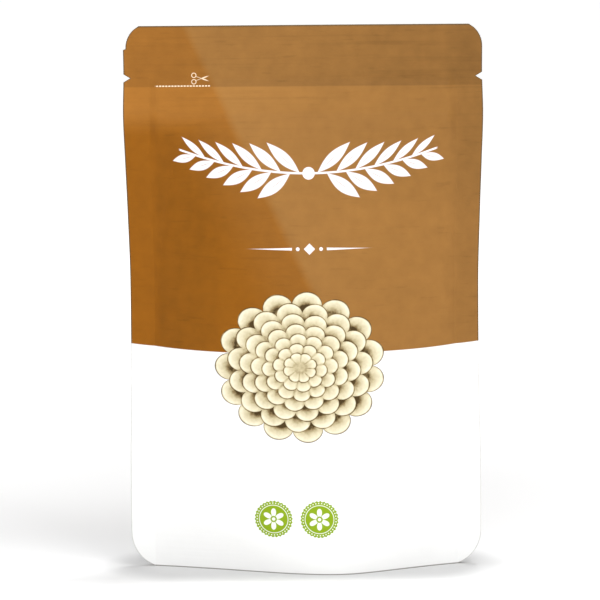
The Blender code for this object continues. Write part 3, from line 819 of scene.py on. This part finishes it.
def brown_tone_and_painted_light(ink, across, up, beside, sheen, noise):
    """The brown's tone, 1 where it is plain: a sum of shades, each the amount that it makes the
    ink lighter times where on the film it does so. Most are painted light and shade; the last
    four are the film's own mottle, clouds, flecks and brush lines."""
    header = ink.step(up, HEADER_FOOT - HEADER_EDGE, HEADER_FOOT + HEADER_EDGE)
    left_falls = ink.step(up, 156, 168)
    right_falls = ink.step(up, 118, 168)
    sides = left_falls + sheen * (right_falls - left_falls)
    strip = ink.step(across, -55, -52) * (1 - ink.step(across, -38, -25))
    upper = ink.step(up, 112, 132) * (1 - ink.step(up, 158, 168))
    lower = 1 - ink.step(up, 112, 135)
    beside_sheen = sheen * (1 - ink.step(beside, 30, 44))
    right_seal = ink.step(across, 50, 58)
    # Painted light and shade: lighter up towards the header, a darker header that is lighter up it
    # and towards its right, darker from left to right from near the zip upwards, painted shade
    # beside the left seal, darker along the right seal, and darker left and lighter right of the
    # painted sheen's slanting line.
    shades = [
        (0.09, ink.step(up, 140, HEADER_FOOT) ** 2),  # up towards the header
        (-0.23, header),
        (0.02, ink.step(up, 177, 194)),  # up the header itself
        (0.04, header * ink.step(across, -20, 10)),  # and towards its right
        (0.05, header * ink.step(across, 40, 60)),
        (-0.17 / HALF_WIDTH, across * sides),  # near the zip, from left to right
        (-0.11, strip * ink.step(168 - up, 0, 14)),  # beside the left seal
        (-0.065, (1 - sheen) * upper),  # left of the slanting line
        (0.035, beside_sheen * upper),  # close to its right
        (-0.02, (1 - sheen) * left_falls),
        (0.03, sheen * lower),
        (-0.055, (1 - sheen) * lower),
        (-0.09, right_seal),
        (-0.045, right_seal * lower),
        (0.28, noise["mottle"] - 0.5),
        (0.16, noise["cloud"] - 0.5),
        (-0.09, ink.step(noise["fleck"], 0.6, 0.72)),
        (-0.11, ink.step(noise["brush"], 0.5, 0.75) * ink.step(up, 150, 168)),
    ]
    return 1 + sum(amount * where for amount, where in shades)


def brown_ink_with_painted_light(ink, across, up, noise, decorated):
    """The brown ink with painted light: deep at the left of a soft slanting line and paler at its
    right as a painted sheen, and paler under the zip as painted light. On the bare film it is in
    between all over, and paler under the zip too."""
    beside = across + (up - SHEEN_HEIGHT) * SHEEN_LEAN + SHEEN_LEFT
    lifted = PALE_UNDER_ZIP * ink.step(up, *PALE_HEIGHTS)
    if decorated:
        sheen = ink.step(beside, -SHEEN_EDGE, SHEEN_EDGE)
        paler = sheen.larger(lifted)
        paler = paler.larger(PALE_BY_SHEEN * ink.step(beside, -PALE_REACH, -SHEEN_EDGE))
    else:
        sheen = BARE_SHEEN
        paler = BARE_PALE + (1 - BARE_PALE) * lifted
    tone = brown_tone_and_painted_light(ink, across, up, beside, sheen, noise)
    share = (tone - DARKEST) / (LIGHTEST - DARKEST)
    deep, pale = (
        ink.mixed(
            share,
            (*(part * DARKEST for part in linear(*brown)[:3]), 1),
            (*(part * LIGHTEST for part in linear(*brown)[:3]), 1),
        )
        for brown in (DEEP_BROWN, PALE_BROWN)
    )
    return ink.mixed(paler, deep, pale)


def ornaments(ink, across, up, noise, colour):
    """The print's motifs laid over a colour."""
    mask, tone = dahlia(ink, across, up)
    petals = ink.node(
        "ShaderNodeValToRGB",
        {"stops": PETAL_SHADES},
        {"Fac": tone + (noise["mottle"] - 0.5) * 0.5 + (noise["grain"] - 0.5) * 0.35},
    )
    colour = ink.mixed(mask, colour, petals)
    colour = ink.mixed(sprig(ink, across, up), colour, CHALK)
    colour = ink.mixed(divider(ink, across, up), colour, CHALK)
    colour = ink.mixed(tear_guide(ink, across, up), colour, GUIDE_CREAM)
    for centre in ROSETTE_CENTRES:
        disc, motif = rosette(ink, across, up, centre)
        colour = ink.mixed(disc, colour, LEAF_GREEN)
        colour = ink.mixed(motif, colour, FLOWER_WHITE)
    return colour


def printed_film_with_painted_light(name, decorated):
    """The laminate's outer face: white film under brown ink, both under a satin varnish. The brown
    carries painted light, shade and sheen. A thin dark line lies where the die has crushed the cut
    edge, and on the white it is darker at the foot as a painted shadow."""
    ink = Finish(name, roughness=0.42, specular=0.08)
    noise = film_noise(ink)
    across, up = (ink.part_of(ink.place(), axis) * (1 / MM) for axis in "XZ")
    white = ink.mixed(noise["cloud"], linear(246, 246, 245), linear(252, 252, 251))
    border = BORDER + BORDER_RISE * (abs(across) / HALF_WIDTH) ** BORDER_SQUARENESS
    unprinted = ink.step(border - up, -INK_EDGE, INK_EDGE)
    brown = brown_ink_with_painted_light(ink, across if decorated else across * -1, up, noise, decorated)
    colour = ink.mixed(unprinted, brown, white)
    if decorated:
        colour = ornaments(ink, across, up, noise, colour)
    to_edge = ink.node("ShaderNodeAttribute", {"attribute_name": "to_edge"}, {}, "Fac")
    crushed = ink.step(CRUSHED_WIDTH - to_edge, 0, CRUSHED_FADES)
    # At the foot the dark line on the white is a painted shadow where the pouch stands.
    foot = ink.step(FOOT_SHADOW_HEIGHT - up, 0, FOOT_SHADOW_HEIGHT)
    dark = crushed * (CRUSHED_WEIGHT - unprinted * (LESS_ON_WHITE - foot * EDGE_SHADOW_AT_FOOT))
    ink.feed("Base Color", ink.mixed(dark, colour, linear(92, 80, 60)))
    ink.feed("Roughness", 0.37 + noise["grain"] * 0.08 + noise["fleck"] * 0.06)
    ink.bump(
        noise["cloud"] * 0.22 + noise["mottle"] * 0.05
        + noise["brush"] * 0.10 + noise["grain"] * 0.012
    )
    return ink.material


def panel(name, node, facing, seed, material):
    """A panel's web, with each point's distance from the cut edge in millimetres as an
    attribute for its material."""
    points = panel_grid(facing, seed)
    film = web(name, node, points, material)
    attribute = film.data.attributes.new("to_edge", "FLOAT", "POINT")
    attribute.data.foreach_set("value", (to_cut_edge(points) / MM).ravel().astype(np.float32))


panel("front_film", "front_panel", -1, FRONT_SEED, printed_film_with_painted_light("front print and painted light", True))


# The back panel
# The same web behind, brown over white and otherwise bare, sealed to the front panel at the
# sides and along the top.

# Its brown carries painted light and shade as the front's does, mirrored, and without the painted
# sheen's slanting line.
panel("back_film", "back_panel", 1, BACK_SEED, printed_film_with_painted_light("back print and painted light", False))


# The zip
# Two extruded strips of milky polyethylene, welded to the inside of the panels. The rib of
# one is pressed into the groove of the other, so both stay as the frame has them.


def milky_polyethylene():
    """Milky plastic with fine streaks along the strip, as the extruder's die leaves them."""
    milky = Finish("milky polyethylene", roughness=0.35, specular=0.5)
    along_strip = milky.stretched(milky.place(), (40, 900, 900))
    streak = milky.noise(along_strip, scale=1, detail=3)
    milky.feed("Base Color", milky.mixed(streak, linear(222, 224, 222), linear(238, 240, 238)))
    milky.feed("Roughness", 0.28 + streak * 0.16)
    milky.feed("Subsurface Weight", 0.3)
    milky.feed("Subsurface Scale", 0.5 * MM)
    return milky.material


zip_plastic = milky_polyethylene()
for strip in ("zip_rib_strip", "zip_groove_strip"):
    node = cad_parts[strip]
    node.data.materials.clear()
    node.data.materials.append(zip_plastic)


# The kernels
# 56 g of shelled kernels, cream, dry and matt, each a round body with three blunt wings that
# are left of its papery shell. They lie loose on the gusset.

KERNEL_RADIUS = 3.6 * MM
KERNEL_LENGTH = 1.1  # of its width
KERNEL_WINGS, KERNEL_WING = 3, 0.08
KERNEL_RINGS, KERNEL_SEGMENTS, KERNEL_POLE = 7, 10, 0.12
SMALLEST_KERNEL = 0.92
KERNEL_COLUMNS, KERNEL_ROWS, KERNEL_LAYERS = range(-8, 9), range(-4, 5), range(9)
KERNEL_PITCH = 7.3 * MM
KERNEL_ROOM = 1.15 * KERNEL_RADIUS
KERNEL_SHAKE = 0.7 * MM
LAYER_RISE, ROW_STEP, LAYER_STEP = 0.816, 0.866, 0.577  # of the pitch, as round balls pack
LOWEST_LAYER = 0.8  # of the pitch, over the floor
HEAP_TOP, HEAP_CROWN, HEAP_HALF_LENGTH = 50 * MM, 5 * MM, 47 * MM
SHAKE_SEED, TURN_SEED, SIZE_SEED = 56, 7, 11


def kernel_places():
    """Centres of the kernels: a close-packed lattice, shaken with a seeded draw, of which
    those stay that are clear of the film and under the heap's top."""
    lattice = np.meshgrid(KERNEL_COLUMNS, KERNEL_ROWS, KERNEL_LAYERS)
    column, row, layer = (axis.ravel() for axis in lattice)
    x = (column + 0.5 * (row % 2) + 0.5 * (layer % 2)) * KERNEL_PITCH
    y = (row * ROW_STEP + (layer % 2) * LAYER_STEP) * KERNEL_PITCH
    z = (LOWEST_LAYER + layer * LAYER_RISE) * KERNEL_PITCH
    draw = np.random.default_rng(SHAKE_SEED)
    shake = draw.uniform(-KERNEL_SHAKE, KERNEL_SHAKE, (3, x.size))
    x, y, z = x + shake[0], y + shake[1], z + shake[2]
    reach = free_half_depth(x, gusset_seal(x))
    floor = gusset_height(x, np.clip(y / reach, -1, 1)) + FILM
    top = HEAP_TOP - HEAP_CROWN * (x / HEAP_HALF_LENGTH) ** 2
    inside = (
        (abs(y) < free_half_depth(x, z) - KERNEL_ROOM)
        & (z > floor + KERNEL_ROOM)
        & (z < top - KERNEL_ROOM)
        & (abs(x) < HEAP_HALF_LENGTH - KERNEL_ROOM)
    )
    return np.stack([x, y, z], axis=-1)[inside]


def kernel_shape():
    """One kernel at the origin: a sphere that is longer than wide, whose radius swells three
    times on the way round."""
    down, around = np.meshgrid(
        np.linspace(KERNEL_POLE, math.pi - KERNEL_POLE, KERNEL_RINGS),
        np.arange(KERNEL_SEGMENTS) * 2 * math.pi / KERNEL_SEGMENTS,
        indexing="ij",
    )
    wide = np.sin(down) * (1 + KERNEL_WING * np.cos(KERNEL_WINGS * around) * np.sin(down))
    points = np.stack(
        [wide * np.cos(around), wide * np.sin(around), KERNEL_LENGTH * np.cos(down)], axis=-1
    )
    return points.reshape(-1, 3) * KERNEL_RADIUS


def random_turns(count):
    """Seeded turns as matrices, each from a random unit quaternion."""
    draw = np.random.default_rng(TURN_SEED).normal(size=(4, count))
    w, x, y, z = draw / np.linalg.norm(draw, axis=0)
    rows = [
        [1 - 2 * (y * y + z * z), 2 * (x * y - w * z), 2 * (x * z + w * y)],
        [2 * (x * y + w * z), 1 - 2 * (x * x + z * z), 2 * (y * z - w * x)],
        [2 * (x * z - w * y), 2 * (y * z + w * x), 1 - 2 * (x * x + y * y)],
    ]
    return np.moveaxis(np.array(rows), 2, 0)


def kernels_together():
    """Every kernel: the one shape, turned and scaled a little differently at each place. A
    ring's last face joins its first, and one face closes each pole."""
    places = kernel_places()
    shape = kernel_shape()
    draw = np.random.default_rng(SIZE_SEED)
    sizes = draw.uniform(SMALLEST_KERNEL, 1.0, (len(places), 1, 1))
    turns = random_turns(len(places))
    points = places[:, None] + sizes * np.einsum("nij,pj->npi", turns, shape)
    corner = np.arange(len(shape)).reshape(KERNEL_RINGS, KERNEL_SEGMENTS)
    right = np.roll(corner, -1, axis=1)
    side = np.stack([corner[:-1], corner[1:], right[1:], right[:-1]], axis=-1).reshape(-1, 4)
    starts = np.arange(len(places)) * len(shape)
    caps = np.stack([corner[0], corner[-1][::-1]])
    faces = (side[None] + starts[:, None, None]).reshape(-1, 4).tolist()
    faces += (caps[None] + starts[:, None, None]).reshape(-1, KERNEL_SEGMENTS).tolist()
    return points, faces


def dry_kernel():
    """Matt cream skin, mottled darker, with fine flakes."""
    cream = Finish("dry kernel", roughness=0.75, specular=0.3)
    mottle = cream.noise(cream.place(), scale=260, detail=6)
    flake = cream.noise(cream.place(), scale=1400, detail=4)
    stops = [
        (0.3, linear(196, 172, 128)), (0.5, linear(226, 208, 168)), (0.72, linear(240, 229, 200)),
    ]
    shade = {"Fac": mottle * 0.75 + flake * 0.25}
    cream.feed("Base Color", cream.node("ShaderNodeValToRGB", {"stops": stops}, shade))
    cream.feed("Roughness", 0.6 + flake * 0.3)
    cream.bump(mottle * 0.12 + flake * 0.05)
    return cream.material


kernels = new_piece("kernel_heap", *kernels_together(), dry_kernel())
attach(kernels, "root")
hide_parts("kernels")
